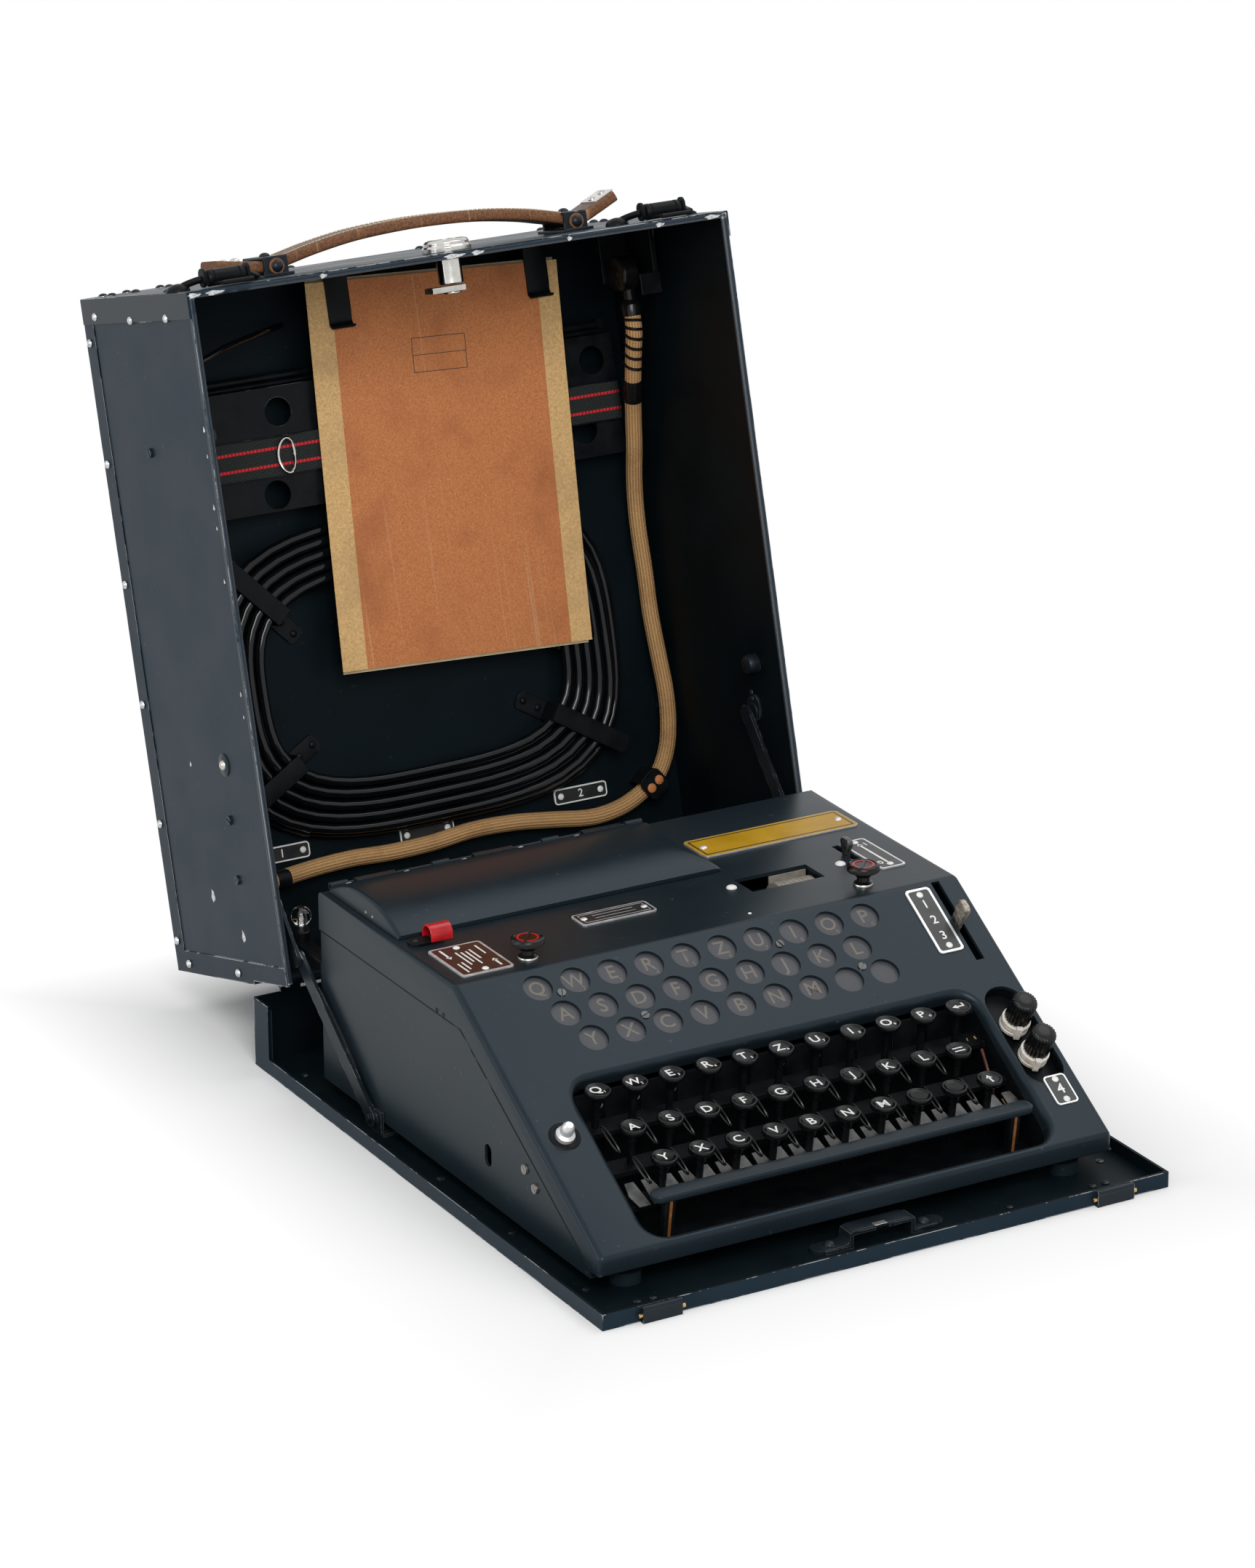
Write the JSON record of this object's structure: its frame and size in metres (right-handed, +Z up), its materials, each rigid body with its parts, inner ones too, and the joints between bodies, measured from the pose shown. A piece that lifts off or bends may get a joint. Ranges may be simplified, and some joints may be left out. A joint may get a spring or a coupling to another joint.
{
  "type": "rotor cipher machine",
  "caption": "Portable rotor cipher machine in an open sheet-metal case: keyboard, lamp field, rotor lid, binding posts, and a hinged cover that holds cords, a booklet and a parts box.",
  "frame": {"origin": "centre of the flat underside of the base tray", "axes": "+X to the user's right, -Y towards the user, +Z up"},
  "size_m": [0.33, 0.5742, 0.4204],
  "materials": {
    "case_paint": "semi-matte enamel",
    "fitting_paint": "semi-matte enamel, worn",
    "housing_paint": "semi-matte enamel",
    "frame_black": "black oxide",
    "lamp_windows": "frosted",
    "plates": "printed plates and black plastic",
    "rotor_metal": "machined",
    "red_enamel": "gloss",
    "knob_black": "ribbed",
    "nickel": "nickel plated",
    "cord_black": "satin",
    "braid": "braided",
    "card": "mottled pressboard",
    "handle_leather": "stitched",
    "key_black": "gloss"
  },
  "bodies": {
    "base": {"base_tray": "case_paint", "tray_fittings": "fitting_paint", "housing_hood": "housing_paint", "housing_body": "housing_paint", "key_frame": "frame_black", "lamp_panel": "lamp_windows", "housing_fittings": "plates"},
    "cover": {"cover_shell": "case_paint", "cover_fittings": "fitting_paint", "spare_rotor_box": "frame_black", "mains_cord": "cord_black", "braided_cable": "braid", "booklet": "card", "carry_handle": "handle_leather"},
    "rotor_stack": {"rotor_stack": "rotor_metal"},
    "rotor_lid": {"rotor_lid": "housing_paint"},
    "lid_catch": {"lid_catch": "red_enamel"},
    "thumb_screw_left": {"thumb_screw_left": "knob_black"},
    "thumb_screw_right": {"thumb_screw_right": "knob_black"},
    "reset_lever": {"reset_lever": "nickel"},
    "power_lever": {"power_lever": "nickel"},
    "push_button": {"push_button": "nickel"},
    "post_knob_rear": {"post_knob_rear": "knob_black"},
    "post_knob_front": {"post_knob_front": "knob_black"},
    "latch_left": {"latch_left": "fitting_paint"},
    "latch_right": {"latch_right": "fitting_paint"},
    "lock_bolt": {"lock_bolt": "nickel"},
    "strut_arms": {"strut_arms": "fitting_paint"},
    "strut_links": {"strut_links": "fitting_paint"},
    "key_q": {"key_q": "key_black"},
    "key_w": {"key_w": "key_black"},
    "key_e": {"key_e": "key_black"},
    "key_r": {"key_r": "key_black"},
    "key_t": {"key_t": "key_black"},
    "key_z": {"key_z": "key_black"},
    "key_u": {"key_u": "key_black"},
    "key_i": {"key_i": "key_black"},
    "key_o": {"key_o": "key_black"},
    "key_p": {"key_p": "key_black"},
    "key_return": {"key_return": "key_black"},
    "key_a": {"key_a": "key_black"},
    "key_s": {"key_s": "key_black"},
    "key_d": {"key_d": "key_black"},
    "key_f": {"key_f": "key_black"},
    "key_g": {"key_g": "key_black"},
    "key_h": {"key_h": "key_black"},
    "key_j": {"key_j": "key_black"},
    "key_k": {"key_k": "key_black"},
    "key_l": {"key_l": "key_black"},
    "key_line": {"key_line": "key_black"},
    "key_y": {"key_y": "key_black"},
    "key_x": {"key_x": "key_black"},
    "key_c": {"key_c": "key_black"},
    "key_v": {"key_v": "key_black"},
    "key_b": {"key_b": "key_black"},
    "key_n": {"key_n": "key_black"},
    "key_m": {"key_m": "key_black"},
    "key_blank_1": {"key_blank_1": "key_black"},
    "key_blank_2": {"key_blank_2": "key_black"},
    "key_letters": {"key_letters": "key_black"}
  },
  "joints": [
    {"name": "cover_hinge", "type": "hinge", "parent": "base", "child": "cover", "pos_m": [0, 0.188, 0.044], "axis": [1, 0, 0], "range_deg": [0, 105]},
    {"name": "strut_arm_pivot", "type": "hinge", "parent": "base", "child": "strut_arms", "pos_m": [0, 0.076, 0.009], "axis": [1, 0, 0], "range_deg": [-34, 0.5]},
    {"name": "strut_link_pivot", "type": "hinge", "parent": "strut_arms", "child": "strut_links", "pos_m": [0, 0.1554, 0.07], "axis": [1, 0, 0], "range_deg": [-0.5, 146.5]},
    {"name": "rotor_lid_hinge", "type": "hinge", "parent": "base", "child": "rotor_lid", "pos_m": [0, 0.136, 0.1156], "axis": [1, 0, 0], "range_deg": [-88, 0]},
    {"name": "lid_catch_turn", "type": "hinge", "parent": "base", "child": "lid_catch", "pos_m": [-0.141, 0.046, 0.1144], "axis": [0, 0, -1], "range_deg": [0, 30]},
    {"name": "rotor_spin", "type": "hinge", "parent": "base", "child": "rotor_stack", "pos_m": [-0.05, 0.095, 0.083], "axis": [1, 0, 0], "continuous": true},
    {"name": "thumb_screw_left_turn", "type": "hinge", "parent": "base", "child": "thumb_screw_left", "pos_m": [-0.1, 0.002, 0.1135], "axis": [0, 0, 1], "continuous": true},
    {"name": "thumb_screw_right_turn", "type": "hinge", "parent": "base", "child": "thumb_screw_right", "pos_m": [0.1, 0.002, 0.1135], "axis": [0, 0, 1], "continuous": true},
    {"name": "reset_lever_swing", "type": "hinge", "parent": "base", "child": "reset_lever", "pos_m": [0.1165, 0.045, 0.0915], "axis": [1, 0, 0], "range_deg": [-18, 18]},
    {"name": "power_lever_swing", "type": "hinge", "parent": "base", "child": "power_lever", "pos_m": [0.135, -0.01117, 0.06076], "axis": [1, 0, 0], "range_deg": [-20, 20]},
    {"name": "push_button_travel", "type": "slide", "parent": "base", "child": "push_button", "axis": [0, 0.5267, -0.85], "range_m": [0, 0.004], "stiffness_N_per_m": 300},
    {"name": "post_knob_rear_turn", "type": "hinge", "parent": "base", "child": "post_knob_rear", "pos_m": [0.1342, -0.09225, 0.06346], "axis": [0, -0.5267, 0.85], "continuous": true},
    {"name": "post_knob_front_turn", "type": "hinge", "parent": "base", "child": "post_knob_front", "pos_m": [0.1342, -0.1101, 0.0524], "axis": [0, -0.5267, 0.85], "continuous": true},
    {"name": "latch_left_turn", "type": "hinge", "parent": "cover", "child": "latch_left", "pos_m": [-0.132, 0.266, 0.41236], "axis": [1, 0, 0], "range_deg": [-80, 0]},
    {"name": "latch_right_turn", "type": "hinge", "parent": "cover", "child": "latch_right", "pos_m": [0.132, 0.266, 0.41236], "axis": [1, 0, 0], "range_deg": [-80, 0]},
    {"name": "lock_bolt_turn", "type": "hinge", "parent": "cover", "child": "lock_bolt", "pos_m": [0.003, 0.26769, 0.38779], "axis": [0, 0.2588, 0.9659], "range_deg": [0, 90]},
    {"name": "key_q_travel", "type": "slide", "parent": "base", "child": "key_q", "axis": [0, 0.1392, -0.9903], "range_m": [0, 0.004], "stiffness_N_per_m": 150},
    {"name": "key_w_travel", "type": "slide", "parent": "base", "child": "key_w", "axis": [0, 0.1392, -0.9903], "range_m": [0, 0.004], "stiffness_N_per_m": 150},
    {"name": "key_e_travel", "type": "slide", "parent": "base", "child": "key_e", "axis": [0, 0.1392, -0.9903], "range_m": [0, 0.004], "stiffness_N_per_m": 150},
    {"name": "key_r_travel", "type": "slide", "parent": "base", "child": "key_r", "axis": [0, 0.1392, -0.9903], "range_m": [0, 0.004], "stiffness_N_per_m": 150},
    {"name": "key_t_travel", "type": "slide", "parent": "base", "child": "key_t", "axis": [0, 0.1392, -0.9903], "range_m": [0, 0.004], "stiffness_N_per_m": 150},
    {"name": "key_z_travel", "type": "slide", "parent": "base", "child": "key_z", "axis": [0, 0.1392, -0.9903], "range_m": [0, 0.004], "stiffness_N_per_m": 150},
    {"name": "key_u_travel", "type": "slide", "parent": "base", "child": "key_u", "axis": [0, 0.1392, -0.9903], "range_m": [0, 0.004], "stiffness_N_per_m": 150},
    {"name": "key_i_travel", "type": "slide", "parent": "base", "child": "key_i", "axis": [0, 0.1392, -0.9903], "range_m": [0, 0.004], "stiffness_N_per_m": 150},
    {"name": "key_o_travel", "type": "slide", "parent": "base", "child": "key_o", "axis": [0, 0.1392, -0.9903], "range_m": [0, 0.004], "stiffness_N_per_m": 150},
    {"name": "key_p_travel", "type": "slide", "parent": "base", "child": "key_p", "axis": [0, 0.1392, -0.9903], "range_m": [0, 0.004], "stiffness_N_per_m": 150},
    {"name": "key_return_travel", "type": "slide", "parent": "base", "child": "key_return", "axis": [0, 0.1392, -0.9903], "range_m": [0, 0.004], "stiffness_N_per_m": 150},
    {"name": "key_a_travel", "type": "slide", "parent": "base", "child": "key_a", "axis": [0, 0.1392, -0.9903], "range_m": [0, 0.004], "stiffness_N_per_m": 150},
    {"name": "key_s_travel", "type": "slide", "parent": "base", "child": "key_s", "axis": [0, 0.1392, -0.9903], "range_m": [0, 0.004], "stiffness_N_per_m": 150},
    {"name": "key_d_travel", "type": "slide", "parent": "base", "child": "key_d", "axis": [0, 0.1392, -0.9903], "range_m": [0, 0.004], "stiffness_N_per_m": 150},
    {"name": "key_f_travel", "type": "slide", "parent": "base", "child": "key_f", "axis": [0, 0.1392, -0.9903], "range_m": [0, 0.004], "stiffness_N_per_m": 150},
    {"name": "key_g_travel", "type": "slide", "parent": "base", "child": "key_g", "axis": [0, 0.1392, -0.9903], "range_m": [0, 0.004], "stiffness_N_per_m": 150},
    {"name": "key_h_travel", "type": "slide", "parent": "base", "child": "key_h", "axis": [0, 0.1392, -0.9903], "range_m": [0, 0.004], "stiffness_N_per_m": 150},
    {"name": "key_j_travel", "type": "slide", "parent": "base", "child": "key_j", "axis": [0, 0.1392, -0.9903], "range_m": [0, 0.004], "stiffness_N_per_m": 150},
    {"name": "key_k_travel", "type": "slide", "parent": "base", "child": "key_k", "axis": [0, 0.1392, -0.9903], "range_m": [0, 0.004], "stiffness_N_per_m": 150},
    {"name": "key_l_travel", "type": "slide", "parent": "base", "child": "key_l", "axis": [0, 0.1392, -0.9903], "range_m": [0, 0.004], "stiffness_N_per_m": 150},
    {"name": "key_line_travel", "type": "slide", "parent": "base", "child": "key_line", "axis": [0, 0.1392, -0.9903], "range_m": [0, 0.004], "stiffness_N_per_m": 150},
    {"name": "key_y_travel", "type": "slide", "parent": "base", "child": "key_y", "axis": [0, 0.1392, -0.9903], "range_m": [0, 0.004], "stiffness_N_per_m": 150},
    {"name": "key_x_travel", "type": "slide", "parent": "base", "child": "key_x", "axis": [0, 0.1392, -0.9903], "range_m": [0, 0.004], "stiffness_N_per_m": 150},
    {"name": "key_c_travel", "type": "slide", "parent": "base", "child": "key_c", "axis": [0, 0.1392, -0.9903], "range_m": [0, 0.004], "stiffness_N_per_m": 150},
    {"name": "key_v_travel", "type": "slide", "parent": "base", "child": "key_v", "axis": [0, 0.1392, -0.9903], "range_m": [0, 0.004], "stiffness_N_per_m": 150},
    {"name": "key_b_travel", "type": "slide", "parent": "base", "child": "key_b", "axis": [0, 0.1392, -0.9903], "range_m": [0, 0.004], "stiffness_N_per_m": 150},
    {"name": "key_n_travel", "type": "slide", "parent": "base", "child": "key_n", "axis": [0, 0.1392, -0.9903], "range_m": [0, 0.004], "stiffness_N_per_m": 150},
    {"name": "key_m_travel", "type": "slide", "parent": "base", "child": "key_m", "axis": [0, 0.1392, -0.9903], "range_m": [0, 0.004], "stiffness_N_per_m": 150},
    {"name": "key_blank_1_travel", "type": "slide", "parent": "base", "child": "key_blank_1", "axis": [0, 0.1392, -0.9903], "range_m": [0, 0.004], "stiffness_N_per_m": 150},
    {"name": "key_blank_2_travel", "type": "slide", "parent": "base", "child": "key_blank_2", "axis": [0, 0.1392, -0.9903], "range_m": [0, 0.004], "stiffness_N_per_m": 150},
    {"name": "key_letters_travel", "type": "slide", "parent": "base", "child": "key_letters", "axis": [0, 0.1392, -0.9903], "range_m": [0, 0.004], "stiffness_N_per_m": 150}
  ],
  "couplings": [
    {"joint": "strut_arm_pivot", "follows": "cover_hinge", "ratio": -0.319},
    {"joint": "strut_link_pivot", "follows": "cover_hinge", "ratio": 1.39}
  ]
}
